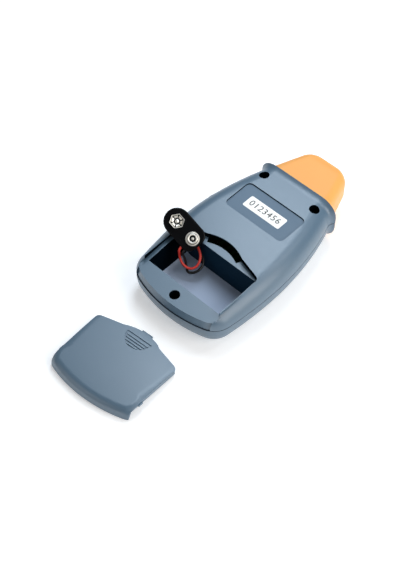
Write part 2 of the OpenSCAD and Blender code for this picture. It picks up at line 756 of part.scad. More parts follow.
mem_flange_d = mem_d + 3;
mem_flange_t = 1;
mem_stem_d = 4;
switch_low = board_h - switch_h;
plunger_out = 0.6;
plunger_in = 1.4;
mem_stem_top = switch_low - plunger_out;
module mem_button() color([0.75, 0.77, 0.78]) translate([0, mem_y, 0]) {
    translate([0, 0, mem_inset]) cylinder(d = mem_d, h = wall - mem_inset + slack + eps);
    translate([0, 0, wall + slack]) cylinder(d = mem_flange_d, h = mem_flange_t);
    translate([0, 0, wall + slack]) cylinder(d = mem_stem_d, h = mem_stem_top - wall - slack);
}

module mem_plunger() color(black_plastic) translate([0, mem_y, mem_stem_top])
    cylinder(d = plunger_d, h = plunger_out + plunger_in);

module switch_body(depth) {
    difference() {
        translate([-switch_s / 2, -switch_s / 2, 0]) cube([switch_s, switch_s, switch_h]);
        translate([0, 0, -eps]) cylinder(d = plunger_d + 0.3, h = depth);
    }
}

plunger_room = plunger_in + key_travel + 0.3;
module mem_switch() color([0.3, 0.3, 0.32]) translate([0, mem_y, switch_low]) switch_body(plunger_room);

test_flange_x = side_x(test_y + test_l / 2 + 2, wall) - 0.8;
test_flange_t = 1.2;
test_flange = 1.2;
test_out_x = side_x(test_y, 0) + test_proud;
test_stem_l = 4.4;
test_stem_x = test_flange_x - test_stem_l;
test_switch_x = test_stem_x - plunger_out;
module test_button() color([0.75, 0.77, 0.78]) {
    along_x(-test_out_x, test_out_x - test_flange_x + eps) translate([test_y, part_h])
        rounded_rect(test_l, test_h, test_h / 2 - eps, 8);
    along_x(-test_flange_x, test_flange_t) translate([test_y, part_h])
        rounded_rect(test_l + 2 * test_flange, test_h + 2 * test_flange, test_h / 2, 8);
    translate([-test_flange_x, test_y, part_h]) rotate([0, 90, 0])
        cylinder(d = mem_stem_d, h = test_flange_x - test_stem_x);
}

module test_plunger() color(black_plastic) translate([-test_stem_x, test_y, part_h]) rotate([0, 90, 0])
    cylinder(d = plunger_d, h = plunger_out + plunger_in);

module test_switch() color([0.3, 0.3, 0.32]) {
    translate([-test_switch_x, test_y, part_h]) rotate([0, 90, 0]) switch_body(plunger_room);
    translate([-test_switch_x, test_y - switch_s / 2, board_top])
        cube([switch_h, switch_s, part_h - switch_s / 2 - board_top + eps]);
}

optic_half_w = 13.4;
optic_back_y = screw_y - 4;
optic_front_y = optic_back_y + optic_l;
optic_top_h = hood_z + neck_half_h - hood_wall - 0.6 - board_top;
optic_z = board_top + optic_top_h / 2;
laser_x = -8;
lens_x = 5;
tube_step = 1.4;
photo_d = 5;
photo_l = 5;
module optic_block() color(black_plastic) difference() {
    translate([-optic_half_w, optic_back_y, board_top]) cube([2 * optic_half_w, optic_l, optic_top_h]);
    translate([laser_x, optic_front_y - laser_l, optic_z]) rotate([-90, 0, 0])
        cylinder(d = laser_d + 2 * slack, h = laser_l + 1);
    translate([lens_x, optic_back_y + photo_l, optic_z]) rotate([-90, 0, 0])
        cylinder(d = lens_d - tube_step, h = optic_l);
    translate([lens_x, optic_back_y - 1, optic_z]) rotate([-90, 0, 0])
        cylinder(d = photo_d + 2 * slack, h = photo_l + 2);
    translate([lens_x, optic_front_y - lens_t - 1, optic_z]) rotate([-90, 0, 0])
        cylinder(d = lens_d + 2 * slack, h = lens_t + 2);
}

lens_dome = 1.2;
lens_sphere = (pow(lens_d / 2, 2) + lens_dome * lens_dome) / (2 * lens_dome);
module receiver_lens() color([0.8, 0.85, 0.9, 0.5]) translate([lens_x, optic_front_y - lens_t - 1, optic_z])
    rotate([-90, 0, 0]) rotate_extrude() {
        square([lens_d / 2, lens_t]);
        intersection() {
            translate([0, lens_t + lens_dome - lens_sphere]) circle(r = lens_sphere);
            translate([0, lens_t - eps]) square([lens_d / 2, lens_dome + eps]);
        }
    }

module laser_module() color([0.78, 0.62, 0.3]) translate([laser_x, optic_front_y - laser_l, optic_z])
    rotate([-90, 0, 0]) difference() {
        cylinder(d = laser_d, h = laser_l);
        translate([0, 0, laser_l - 2]) cylinder(d = laser_d / 2, h = 3);
    }

module photodiode() color([0.2, 0.2, 0.25]) translate([lens_x, optic_back_y + 0.5, optic_z]) rotate([-90, 0, 0])
    cylinder(d = photo_d, h = photo_l - 0.5);

// The snap leans on the corner of the bay, its contacts facing up and out
snap_c = [-21.3, -30.2, 30.2];
snap_turn = -46;
snap_lean = 37;
snap_spin = 41;
module on_snap() {
    translate(snap_c) rotate([0, 0, snap_turn]) rotate([0, snap_lean, 0]) rotate([0, 0, snap_spin]) children();
}

module snap_pad() color(black_plastic) on_snap() translate([0, 0, -snap_t]) linear_extrude(snap_t) {
    circle_x = snap_pitch / 2;
    polygon(concat(
        [for (k = [0 : 12]) polar([-circle_x, 0], snap_w / 2, 90 + 15 * k)],
        round_corner([-circle_x, -snap_w / 2], [snap_l / 2, -snap_w / 2], [snap_l / 2, snap_w / 2], snap_end_r),
        round_corner([snap_l / 2, -snap_w / 2], [snap_l / 2, snap_w / 2], [-circle_x, snap_w / 2], snap_end_r)));
}

socket_d = 8.6;
socket_h = 2.6;
socket_bore = 5.8;
module snap_socket() color(steel) on_snap() translate([-snap_pitch / 2, 0, 0]) difference() {
    cylinder(d = socket_d, h = socket_h, $fn = 6);
    translate([0, 0, 0.4]) cylinder(d = socket_bore, h = socket_h);
}

stud_d = 5.7;
stud_h = 2.9;
stud_flange_d = 7.8;
module snap_stud() color(steel) on_snap() translate([snap_pitch / 2, 0, 0]) rotate_extrude() difference() {
    polygon([[0, 0], [stud_flange_d / 2, 0], [stud_flange_d / 2, 0.5], [stud_d / 2 - 0.3, 0.7],
        [stud_d / 2 - 0.3, 1.4], [stud_d / 2, 1.8], [stud_d / 2, stud_h - 0.4], [stud_d / 2 - 0.4, stud_h],
        [0, stud_h]]);
    translate([0, 0.8]) square([stud_d / 2 - 1.2, stud_h]);
}

// The leads' routes, from the board through the bay's far wall to the snap's edge
red_route = [[-15, -20.4, 10.4], [-15, -20.4, 12.6], [-15, -21, 15.4], [-15.2, -22.6, 17.6], [-15.4, -25, 19],
    [-14.8, -26.8, 19], [-12.4, -28, 17.8], [-10.2, -29.6, 16.2], [-9, -31.8, 14.4], [-9, -34.4, 12.8],
    [-10.4, -36.8, 12.2], [-12.8, -38.2, 12.8], [-15.4, -38.6, 14.6], [-17.2, -38.4, 17.2], [-18, -38, 19.8],
    [-18.4, -37.6, 22.2], [-18.3, -36, 23.9]];
black_route = [[-17.4, -20.4, 10.4], [-17.4, -20.4, 12.4], [-17.4, -21, 15], [-17.2, -22.6, 17.2],
    [-16.6, -25, 17.7], [-15.2, -26.8, 17.1], [-12, -27.4, 15.6], [-9, -28.6, 14.2], [-7.2, -31, 12.6],
    [-7, -34.2, 11.2], [-8.6, -37, 10.2], [-11, -38.4, 10], [-13.2, -37.4, 11], [-14.6, -36.6, 13.6],
    [-15.4, -36.6, 16.8], [-15.9, -37.2, 19.4], [-16.2, -37.2, 21.2], [-16, -35.6, 22.9]];
lead_rings = 2;
lead_sides = 8;

// Smooth curve through a route's points
function route_pt(p, k, t) = let (
        a = p[max(0, k - 1)],
        b = p[k],
        c = p[k + 1],
        d = p[min(len(p) - 1, k + 2)]
    ) 0.5 * (2 * b + (c - a) * t + (2 * a - 5 * b + 4 * c - d) * t * t + (3 * b - a - 3 * c + d) * t * t * t);
function route_curve(p) = concat(
    [for (k = [0 : len(p) - 2], s = [0 : lead_rings - 1]) route_pt(p, k, s / lead_rings)], [p[len(p) - 1]]);
function carried(n, t) = unit(n - (n * t) * t);
function normals(tangents, k, n) = k == len(tangents) ? [] : let (m = carried(n, tangents[k]))
    concat([m], normals(tangents, k + 1, m));

module lead(route) {
    p = route_curve(route);
    last = len(p) - 1;
    tangents = [for (k = [0 : last]) unit(p[min(last, k + 1)] - p[max(0, k - 1)])];
    sides = normals(tangents, 0, [1, 0, 0]);
    points = [for (k = [0 : last], s = [0 : lead_sides - 1]) let (a = 360 * s / lead_sides)
        p[k] + lead_d / 2 * (cos(a) * sides[k] + sin(a) * cross(tangents[k], sides[k]))];
    wall_faces = [for (k = [0 : last - 1], s = [0 : lead_sides - 1]) let (
        a = k * lead_sides,
        side = (s + 1) % lead_sides
    ) each quad(a + s, a + lead_sides + s, a + lead_sides + side, a + side)];
    first_cap = [for (s = [1 : lead_sides - 2]) [0, s, s + 1]];
    tip = last * lead_sides;
    last_cap = [for (s = [1 : lead_sides - 2]) [tip, tip + s + 1, tip + s]];
    polyhedron(points, concat(wall_faces, first_cap, last_cap));
}

module red_lead() color([0.85, 0.16, 0.12]) lead(red_route);

module black_lead() color(black_plastic) lead(black_route);

rear_case();
front_case();
nose_hood();
battery_cover();
serial_label();
display_window();
lcd_glass();
lcd_bezel();
zebra_strips();
circuit_board();
chip_blob();
crystal();
capacitor();
mem_button();
mem_plunger();
mem_switch();
test_button();
test_plunger();
test_switch();
optic_block();
receiver_lens();
laser_module();
photodiode();
filter_window();
case_screws();
board_screws();
snap_pad();
snap_socket();
snap_stud();
red_lead();
black_lead();
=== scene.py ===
from math import radians

import bmesh
import bpy
import numpy as np
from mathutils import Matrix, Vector


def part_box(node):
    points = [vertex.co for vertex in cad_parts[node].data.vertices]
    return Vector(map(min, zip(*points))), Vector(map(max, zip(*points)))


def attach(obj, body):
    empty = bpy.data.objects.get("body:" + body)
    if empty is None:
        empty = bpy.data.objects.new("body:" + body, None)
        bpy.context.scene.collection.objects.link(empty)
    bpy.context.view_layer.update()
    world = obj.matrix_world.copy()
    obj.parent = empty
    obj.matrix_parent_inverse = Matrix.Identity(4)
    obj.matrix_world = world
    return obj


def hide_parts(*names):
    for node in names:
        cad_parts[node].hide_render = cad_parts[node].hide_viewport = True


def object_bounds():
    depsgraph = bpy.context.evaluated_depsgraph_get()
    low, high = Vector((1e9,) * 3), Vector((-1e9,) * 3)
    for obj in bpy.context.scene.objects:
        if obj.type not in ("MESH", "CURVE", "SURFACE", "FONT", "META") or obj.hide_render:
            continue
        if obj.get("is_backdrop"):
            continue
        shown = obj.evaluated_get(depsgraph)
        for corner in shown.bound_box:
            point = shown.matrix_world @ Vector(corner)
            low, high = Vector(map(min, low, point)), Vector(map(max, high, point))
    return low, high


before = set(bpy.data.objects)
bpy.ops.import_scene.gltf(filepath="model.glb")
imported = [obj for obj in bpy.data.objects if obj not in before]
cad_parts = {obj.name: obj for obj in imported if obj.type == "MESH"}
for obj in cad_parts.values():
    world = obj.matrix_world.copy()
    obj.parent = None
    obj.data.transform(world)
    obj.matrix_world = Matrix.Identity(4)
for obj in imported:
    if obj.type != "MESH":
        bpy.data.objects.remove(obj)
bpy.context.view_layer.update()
mm = 0.001
print("frame loaded:", len(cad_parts), "nodes")


camera = {
    "place": (0.2738, -0.3272, 0.5330),  # metres, in the part's own frame
    "elevation": 52.82,
    "azimuth": 43.69,
    "lens": 76.36,
    "sensor": 36,
    "near": 0.01,
}
studio = {
    "world": 0.22,
    "lamps": [  # name, place, width, length, watts, colour, aim
        ("sheenLamp", (-0.120, 0.17, 0.42), 0.16, 0.32, 1.25, (0.78, 0.89, 1.0), (0, -0.03, 0.02)),
        ("sideLamp", (0.80, 0.12, 0.50), 0.60, 0.80, 5.4, (1.0, 0.98, 0.95), (0, -0.03, 0.02)),
        ("endLamp", (-0.30, -0.80, 0.40), 0.50, 0.50, 0.9, (1.0, 0.98, 0.96), (0, -0.07, 0.01)),
        ("slopeLamp", (0.150, 0.23, 0.45), 0.10, 0.20, 0.36, (0.92, 0.96, 1.0), (0.02, 0, 0.02)),
    ],
    "floorHalf": 3.0,
    "floorDrop": 0.0001,
}


def setCamera(c):
    data = bpy.data.cameras.new("camera")
    data.lens = c["lens"]
    data.sensor_width = c["sensor"]
    data.clip_start = c["near"]
    cam = bpy.data.objects.new("camera", data)
    cam.location = c["place"]
    cam.rotation_euler = (radians(90 - c["elevation"]), 0, radians(c["azimuth"]))
    bpy.context.scene.collection.objects.link(cam)
    bpy.context.scene.camera = cam


def setLight(s):
    scene = bpy.context.scene
    scene.view_settings.view_transform = "Standard"
    world = bpy.data.worlds.new("studio")
    world.use_nodes = True
    background = world.node_tree.nodes["Background"]
    background.inputs["Color"].default_value = (1, 1, 1, 1)
    background.inputs["Strength"].default_value = s["world"]
    scene.world = world
    for name, place, width, length, watts, colour, aim in s["lamps"]:
        data = bpy.data.lights.new(name, "AREA")
        data.shape = "RECTANGLE"
        data.size, data.size_y = width, length
        data.energy = watts
        data.color = colour
        lamp = bpy.data.objects.new(name, data)
        lamp.location = place
        lamp.rotation_euler = (Vector(aim) - lamp.location).to_track_quat("-Z", "Y").to_euler()
        scene.collection.objects.link(lamp)


setCamera(camera)
setLight(studio)
print("camera and light set")


class Value:  # a socket that takes part in Python expressions
    def __init__(self, finish, socket):
        self.finish, self.socket = finish, socket

    def calc(self, operation, a, b):
        return self.finish.node("ShaderNodeMath", {"operation": operation}, {0: a, 1: b})

    def __add__(self, other):
        return self.calc("ADD", self, other)

    def __mul__(self, other):
        return self.calc("MULTIPLY", self, other)

    def __sub__(self, other):
        return self.calc("SUBTRACT", self, other)

    def __rsub__(self, other):
        return self.calc("SUBTRACT", other, self)

    __radd__ = __add__
    __rmul__ = __mul__


class Finish:  # one material: its shader and the nodes that feed it
    def __init__(self, name, **constants):
        self.material = bpy.data.materials.new(name)
        self.material.use_nodes = True
        self.tree = self.material.node_tree
        self.tree.nodes.clear()
        self.shader = self.tree.nodes.new("ShaderNodeBsdfPrincipled")
        output = self.tree.nodes.new("ShaderNodeOutputMaterial")
        self.tree.links.new(self.shader.outputs[0], output.inputs[0])
        self.feed(self.shader, constants)

    def feed(self, node, inputs):
        for key, value in inputs.items():
            socket = node.inputs[key]
            if isinstance(value, Value):
                self.tree.links.new(value.socket, socket)
            elif hasattr(socket.default_value, "__len__") and len(socket.default_value) == 4:
                socket.default_value = (*value[:3], 1)
            else:
                socket.default_value = value

    def node(self, kind, settings=None, inputs=None, out=0):
        node = self.tree.nodes.new(kind)
        for key, value in (settings or {}).items():
            if key == "stops":
                for element, (place, grey) in zip(node.color_ramp.elements, value):
                    element.position, element.color = place, (grey, grey, grey, 1)
            else:
                setattr(node, key, value)
        self.feed(node, inputs or {})
        return Value(self, node.outputs[out])

    def place(self, scale=(1, 1, 1)):
        coords = self.node("ShaderNodeTexCoord", out="Object")
        return self.node("ShaderNodeMapping", {}, {"Vector": coords, "Scale": scale})

    def noise(self, size, detail, where=None):
        where = where or self.node("ShaderNodeTexCoord", out="Object")
        return self.node("ShaderNodeTexNoise", {}, {
            "Vector": where, "Scale": 1 / size, "Detail": detail})

    def ramp(self, value, low, high):
        return self.node("ShaderNodeValToRGB", {"stops": [(low, 0.0), (high, 1.0)]}, {0: value})

    def blend(self, share, a, b):
        return self.node("ShaderNodeMix", {"data_type": "RGBA"}, {0: share, 6: a, 7: b}, out=2)

    def bump(self, height, depth):
        return self.node("ShaderNodeBump", {}, {"Height": height, "Distance": depth, "Strength": 1.0})

    def paint(self, **inputs):
        self.feed(self.shader, {key.replace("_", " "): value for key, value in inputs.items()})
        return self.material


def linear(red, green, blue):  # an 8-bit screen colour as the shader's linear one
    c = np.array([red, green, blue]) / 255
    return tuple(np.where(c <= 0.04045, c / 12.92, ((c + 0.055) / 1.055) ** 2.4))


# Moulded plastic: eroded grain as bump, slow clouds of colour, scuffs in the roughness
moulding = {"cloudSize": 30 * mm, "scuffSize": 4 * mm, "scuffRange": (0.52, 0.72),
            "scuffRough": 0.02, "gloss": 0.4}
plastics = {
    "casePlastic": {"colour": linear(82, 108, 128), "cloud": linear(77, 103, 123), "grain": 0.35 * mm,
                    "depth": 0.008 * mm, "rough": 0.40, "spread": 0.04, "gloss": 1.0},
    "hoodPlastic": {"colour": linear(250, 178, 98), "cloud": linear(246, 170, 89), "grain": 0.5 * mm,
                    "depth": 0.006 * mm, "rough": 0.42, "spread": 0.10},
    "blackPlastic": {"colour": linear(38, 39, 42), "cloud": linear(30, 31, 34), "grain": 0.3 * mm,
                     "depth": 0.010 * mm, "rough": 0.5, "spread": 0.15},
    "keyRubber": {"colour": linear(88, 98, 112), "cloud": linear(78, 88, 102), "grain": 0.25 * mm,
                  "depth": 0.010 * mm, "rough": 0.62, "spread": 0.10},
    "switchPlastic": {"colour": linear(66, 66, 70), "cloud": linear(58, 58, 62), "grain": 0.2 * mm,
                      "depth": 0.006 * mm, "rough": 0.5, "spread": 0.10},
    "snapVinyl": {"colour": linear(5, 6, 8), "cloud": linear(9, 10, 13), "grain": 1.6 * mm,
                  "depth": 0.020 * mm, "rough": 0.26, "spread": 0.12, "gloss": 0.14},
    # painted shade: near-black finish for bay walls, screw holes, step walls and the contacts' recessed
    # bands
    "shadeBlack": {"colour": linear(2, 9, 16), "cloud": linear(4, 13, 21), "grain": 0.4 * mm,
                   "depth": 0.010 * mm, "rough": 0.7, "spread": 0.10, "gloss": 0.0},
    # painted shade: dark navy on the bay's far wall
    "farWallShade": {"colour": linear(12, 50, 74), "cloud": linear(10, 44, 66), "grain": 0.4 * mm,
                 "depth": 0.010 * mm, "rough": 0.6, "spread": 0.10, "gloss": 0.1},
    "panelPlastic": {"colour": linear(79, 104, 126), "cloud": linear(75, 100, 121), "grain": 0.25 * mm,
                     "depth": 0.006 * mm, "rough": 0.5, "spread": 0.08, "gloss": 0.6},
    # painted light: the bay floor is much lighter than the case
    "bayFloorLight": {"colour": linear(172, 188, 212), "cloud": linear(158, 174, 200), "grain": 0.35 * mm,
                   "depth": 0.010 * mm, "rough": 0.5, "spread": 0.12, "gloss": 0.5},
    # painted shade: dark finish in the parting seam's groove
    "seamShade": {"colour": linear(52, 64, 76), "cloud": linear(46, 58, 70), "grain": 0.3 * mm,
                    "depth": 0.006 * mm, "rough": 0.6, "spread": 0.08, "gloss": 0.2},
    "zebraRubber": {"colour": linear(200, 150, 158), "cloud": linear(180, 126, 136), "grain": 0.3 * mm,
                    "depth": 0.006 * mm, "rough": 0.6, "spread": 0.08},
}


def makePlastic(name, look):
    f = Finish(name, **{"Specular IOR Level": look.get("gloss", moulding["gloss"])})
    clouds = f.noise(moulding["cloudSize"], 4)
    grain = f.noise(look["grain"], 2)
    scuffs = f.ramp(f.noise(moulding["scuffSize"], 6), *moulding["scuffRange"])
    return f.paint(
        Base_Color=f.blend(clouds, look["colour"], look["cloud"]),
        Roughness=look["rough"] + look["spread"] * (clouds - 0.5) + moulding["scuffRough"] * scuffs,
        Normal=f.bump(grain, look["depth"]))


# Metal: brushed or turned streaks in the roughness over a nearly even colour
metals = {
    "screwSteel": {"colour": linear(176, 176, 180), "dull": linear(132, 132, 138), "rough": 0.32},
    "contactNickel": {"colour": linear(255, 252, 244), "dull": linear(248, 241, 226), "rough": 0.40},
    "laserBrass": {"colour": linear(214, 178, 106), "dull": linear(176, 140, 78), "rough": 0.28},
}


def makeMetal(name, look):
    f = Finish(name, Metallic=1.0)
    tarnish = f.ramp(f.noise(2.5 * mm, 5), 0.45, 0.75)
    streaks = f.noise(0.35 * mm, 2, f.place(scale=(1, 1, 6)))
    return f.paint(
        Base_Color=f.blend(tarnish, look["colour"], look["dull"]),
        Roughness=look["rough"] + 0.18 * (streaks - 0.5) + 0.15 * tarnish,
        Normal=f.bump(streaks, 0.004 * mm))


# Clear pieces: a tinted, nearly smooth shell with a breath of dust
glasses = {
    "windowClear": {"colour": linear(214, 220, 222), "rough": 0.06, "through": 0.9},
    "lensClear": {"colour": linear(235, 240, 245), "rough": 0.03, "through": 0.95},
    "filterRed": {"colour": linear(96, 14, 18), "rough": 0.08, "through": 0.6},
}


def makeGlass(name, look):
    f = Finish(name, **{"Transmission Weight": look["through"], "IOR": 1.49})
    dust = f.ramp(f.noise(1.5 * mm, 6), 0.55, 0.8)
    return f.paint(
        Base_Color=f.blend(dust * 0.15, look["colour"], (0.8, 0.8, 0.8)),
        Roughness=look["rough"] + 0.12 * dust)


wires = {
    "redWire": {"colour": linear(232, 74, 62), "cloud": linear(205, 48, 42)},
    "blackWire": {"colour": linear(7, 7, 9), "cloud": linear(12, 12, 14)},
}


def makeWire(name, look):
    f = Finish(name)
    clouds = f.noise(3 * mm, 4)
    return f.paint(
        Base_Color=f.blend(clouds, look["colour"], look["cloud"]),
        Roughness=0.3 + 0.2 * clouds,
        Normal=f.bump(f.noise(0.5 * mm, 2), 0.01 * mm))


def makeLabel():  # white film with a faint paper tooth
    f = Finish("labelFilm")
    tooth = f.noise(0.4 * mm, 4)
    return f.paint(
        Base_Color=f.blend(f.noise(9 * mm, 3), linear(255, 254, 250), linear(250, 249, 244)),
        Roughness=0.42 + 0.12 * tooth,
        Normal=f.bump(tooth, 0.004 * mm))


def makePrint():
    f = Finish("labelPrint")
    return f.paint(
        Base_Color=f.blend(f.noise(0.6 * mm, 3), linear(22, 22, 26), linear(44, 44, 48)),
        Roughness=0.5 + 0.1 * f.noise(0.8 * mm, 2))


def makeBoard():  # green solder mask over a net of copper runs, with tinned dots
    f = Finish("boardMask")
    cells = f.node("ShaderNodeTexVoronoi", {"feature": "F1"},
                   {"Vector": f.node("ShaderNodeTexCoord", out="Object"), "Scale": 1 / (3.2 * mm)})
    dots = 1 - f.ramp(cells, 0.16, 0.20)
    runs = f.ramp(f.node("ShaderNodeTexWave", {"bands_direction": "X"}, {
        "Vector": f.place(), "Scale": 1 / (14 * mm), "Distortion": 5.0, "Detail": 2.0}), 0.60, 0.66)
    mask = f.blend(runs, linear(14, 58, 36), linear(28, 88, 54))
    return f.paint(
        Base_Color=f.blend(dots, mask, linear(206, 204, 196)),
        Metallic=dots * 0.9,
        Roughness=0.34 + 0.1 * f.noise(2 * mm, 3),
        Normal=f.bump(runs * 0.4 + dots, 0.05 * mm))


def makeLcd():  # grey-green cell with faint rubbed streaks
    f = Finish("lcdCell", **{"Coat Weight": 0.6, "Coat Roughness": 0.05})
    streaks = f.noise(0.5 * mm, 2, f.place(scale=(1, 12, 1)))
    return f.paint(
        Base_Color=f.blend(streaks, linear(150, 160, 146), linear(140, 150, 137)),
        Roughness=0.25 + 0.1 * streaks)


def makeSleeve():
    f = Finish("capSleeve")
    bands = f.noise(1.2 * mm, 3)
    return f.paint(
        Base_Color=f.blend(bands, linear(40, 46, 92), linear(30, 34, 74)),
        Roughness=0.28 + 0.12 * bands)


def makeFloor():
    f = Finish("paleFloor", **{"Emission Color": (1, 1, 1), "Emission Strength": 0.36})
    haze = f.noise(0.4, 2)
    return f.paint(
        Base_Color=f.blend(haze, (0.93, 0.93, 0.93), (0.91, 0.91, 0.915)),
        Roughness=0.7 + 0.1 * haze)


finishes = {
    **{name: makePlastic(name, look) for name, look in plastics.items()},
    **{name: makeMetal(name, look) for name, look in metals.items()},
    **{name: makeGlass(name, look) for name, look in glasses.items()},
    **{name: makeWire(name, look) for name, look in wires.items()},
    "labelFilm": makeLabel(), "labelPrint": makePrint(), "boardMask": makeBoard(),
    "lcdCell": makeLcd(), "capSleeve": makeSleeve(), "paleFloor": makeFloor(),
}
print("finishes made:", len(finishes))


def addMesh(name, finish, vertices, faces, shadedFaces=None):
    mesh = bpy.data.meshes.new(name)
    mesh.from_pydata(np.asarray(vertices).tolist(), [], [list(face) for face in faces])
    mesh.materials.append(finishes[finish])
    # faces marked in shadedFaces get the black finish as painted shade
    if shadedFaces is not None:
        mesh.materials.append(finishes["shadeBlack"])
        mesh.polygons.foreach_set("material_index", shadedFaces.astype(np.int32))
    mesh.shade_smooth()
    piece = bpy.data.objects.new(name, mesh)
    bpy.context.scene.collection.objects.link(piece)
    return piece


def gridFaces(rows, columns, wrap=False):  # quads of a rows x columns grid, row by row
    r, c = np.meshgrid(np.arange(rows - 1), np.arange(columns if wrap else columns - 1), indexing="ij")
    nextC = (c + 1) % columns
    corners = [r * columns + c, r * columns + nextC, (r + 1) * columns + nextC, (r + 1) * columns + c]
    return np.stack(corners, -1).reshape(-1, 4)


def wear(piece, body, node, slot):  # the piece stands for a CAD node and moves with its body
    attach(piece, body)
    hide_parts(node)


# Faces of the housing painted by place and slope: painted shade on the seam groove, the bay walls, the screw
# holes and the panel's step walls, painted light on the bay floor, and a darker, less glossy label panel
# floor. Columns: finish, low and high corner in millimetres, range of the normal's upward part
zones = {
    "rear_case": [
        # painted shade in the parting seam's groove
        ("seamShade", (-36, -68, 14.9), (36, 42, 15.45), -1.0, 0.6),
        # painted shade on the bay walls
        ("shadeBlack", (-27.9, -54, 4), (26.9, -12, 26.9), -1.0, 0.6),
        # painted shade, dark navy, on the bay's far wall
        ("farWallShade", (-27, -26.6, 4), (27, -25, 26.9), -1.0, 0.6),
        # painted shade in the back screw holes
        ("shadeBlack", (15.4, 28.1, 8), (21.6, 34.3, 27.9), -1.0, 0.6),
        ("shadeBlack", (-21.6, 28.1, 8), (-15.4, 34.3, 27.9), -1.0, 0.6),
        # painted shade in the ledge screw hole
        ("shadeBlack", (-3.4, -63.5, 8), (3.4, -56.7, 24), -1.0, 0.6),
        ("panelPlastic", (-21, 0, 27.1), (21, 27, 27.3), 0.9, 1.0),
        # painted shade on the panel's step walls
        ("shadeBlack", (-21.2, 0, 27.3), (21.2, 27, 27.9), -0.5, 0.5),
        # painted light on the bay floor
        ("bayFloorLight", (-27, -54, 3.9), (27, -24, 9), 0.6, 1.0),
    ],
    # painted shade on the front case's face in the seam groove
    "front_case": [("seamShade", (-36, -68, 14.9), (36, 42, 15.1), 0.9, 1.0)],
}


def paintZones(mesh, node):
    count = len(mesh.polygons)
    centre, normal = np.empty(count * 3), np.empty(count * 3)
    mesh.polygons.foreach_get("center", centre)
    mesh.polygons.foreach_get("normal", normal)
    centre, up = centre.reshape(-1, 3) / mm, normal.reshape(-1, 3)[:, 2]
    index = np.zeros(count, np.int32)
    for finish, low, high, least, most in zones.get(node, []):
        if finishes[finish].name not in mesh.materials:
            mesh.materials.append(finishes[finish])
        inside = np.all((centre > low) & (centre < high), axis=1) & (up >= least) & (up <= most)
        index[inside] = mesh.materials.find(finish)
    mesh.polygons.foreach_set("material_index", index)


merge = {"weld": 2e-6, "flat": 0.4, "faceWeight": 60}  # metres, degrees, weight of large faces


def roundedCopy(node, finish, look):
    # a merged copy of a CAD solid with small moulded radii on its edges
    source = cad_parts[node].data
    mesh = bpy.data.meshes.new(node + "Skin")
    work = bmesh.new()
    work.from_mesh(source)
    bmesh.ops.remove_doubles(work, verts=work.verts, dist=merge["weld"])
    bmesh.ops.dissolve_degenerate(work, dist=merge["weld"], edges=work.edges)
    bmesh.ops.dissolve_limit(
        work, angle_limit=radians(merge["flat"]), verts=work.verts, edges=work.edges)
    for edge in work.edges:
        edge.smooth = len(edge.link_faces) == 2 and edge.calc_face_angle() < radians(look["angle"])
    work.to_mesh(mesh)
    work.free()
    mesh.materials.clear()
    mesh.materials.append(finishes[finish])
    mesh.polygons.foreach_set("use_smooth", np.ones(len(mesh.polygons), bool))
    paintZones(mesh, node)
    piece = bpy.data.objects.new(node + "Skin", mesh)
    bpy.context.scene.collection.objects.link(piece)
    if look["radius"]:
        bevel = piece.modifiers.new("mouldedRadius", "BEVEL")
        bevel.width = look["radius"]
        bevel.segments = look["steps"]
        bevel.limit_method = "ANGLE"
        bevel.angle_limit = radians(look["angle"])
        bevel.harden_normals = False
        bevel.use_clamp_overlap = True
    weighted = piece.modifiers.new("flatFaces", "WEIGHTED_NORMAL")
    weighted.keep_sharp = True
    weighted.weight = merge["faceWeight"]
    return piece


# CAD nodes that keep their own shape and get moulded radii:
# body, finish, record slot, radius, steps, angle
skins = {
    "rear_case": ("case", "casePlastic", "case", 0.22 * mm, 2, 30),
    "front_case": ("case", "casePlastic", "case", 0.22 * mm, 2, 30),
    "battery_cover": ("case", "casePlastic", "case", 0.25 * mm, 2, 30),
    "nose_hood": ("case", "hoodPlastic", "hood", 0.20 * mm, 2, 40),
    "snap_pad": ("case", "snapVinyl", "vinyl", 0.70 * mm, 4, 40),
    "lcd_bezel": ("case", "blackPlastic", "black_plastic", 0.2 * mm, 2, 40),
    "optic_block": ("case", "blackPlastic", "black_plastic", 0.3 * mm, 2, 40),
    "mem_button": ("memory_key", "keyRubber", "key", 0.45 * mm, 4, 40),
    "test_button": ("measuring_key", "keyRubber", "key", 0.40 * mm, 3, 60),
    "mem_switch": ("case", "switchPlastic", "switch", 0.15 * mm, 2, 40),
    "test_switch": ("case", "switchPlastic", "switch", 0.15 * mm, 2, 40),
    "display_window": ("case", "windowClear", "window", 0.12 * mm, 2, 40),
    "crystal": ("case", "screwSteel", "steel", 0.4 * mm, 3, 40),
    "capacitor": ("case", "capSleeve", "sleeve", 0.4 * mm, 3, 40),
    "chip_blob": ("case", "blackPlastic", "black_plastic", 0, 0, 40),
}
pieces = {}
for node, (body, finish, slot, radius, steps, angle) in skins.items():
    pieces[node] = roundedCopy(node, finish, {"radius": radius, "steps": steps, "angle": angle})
    wear(pieces[node], body, node, slot)
print("moulded skins made:", len(skins))


# CAD nodes that stay as they are and only get a finish
dressed = {
    "lcd_glass": "lcdCell", "zebra_strips": "zebraRubber", "circuit_board": "boardMask",
    "mem_plunger": "blackPlastic", "test_plunger": "blackPlastic",
    "receiver_lens": "lensClear", "laser_module": "laserBrass", "photodiode": "blackPlastic",
    "filter_window": "filterRed", "board_screws": "screwSteel",
}
for node, finish in dressed.items():
    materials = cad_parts[node].data.materials
    materials.clear()
    materials.append(finishes[finish])
print("plain nodes dressed:", len(dressed))


# The snap lies tilted: its own frame carries both contacts
snap = {"centre": (-21.3, -30.2, 30.2), "turn": -46, "lean": 37, "spin": 41, "pitch": 12.7}


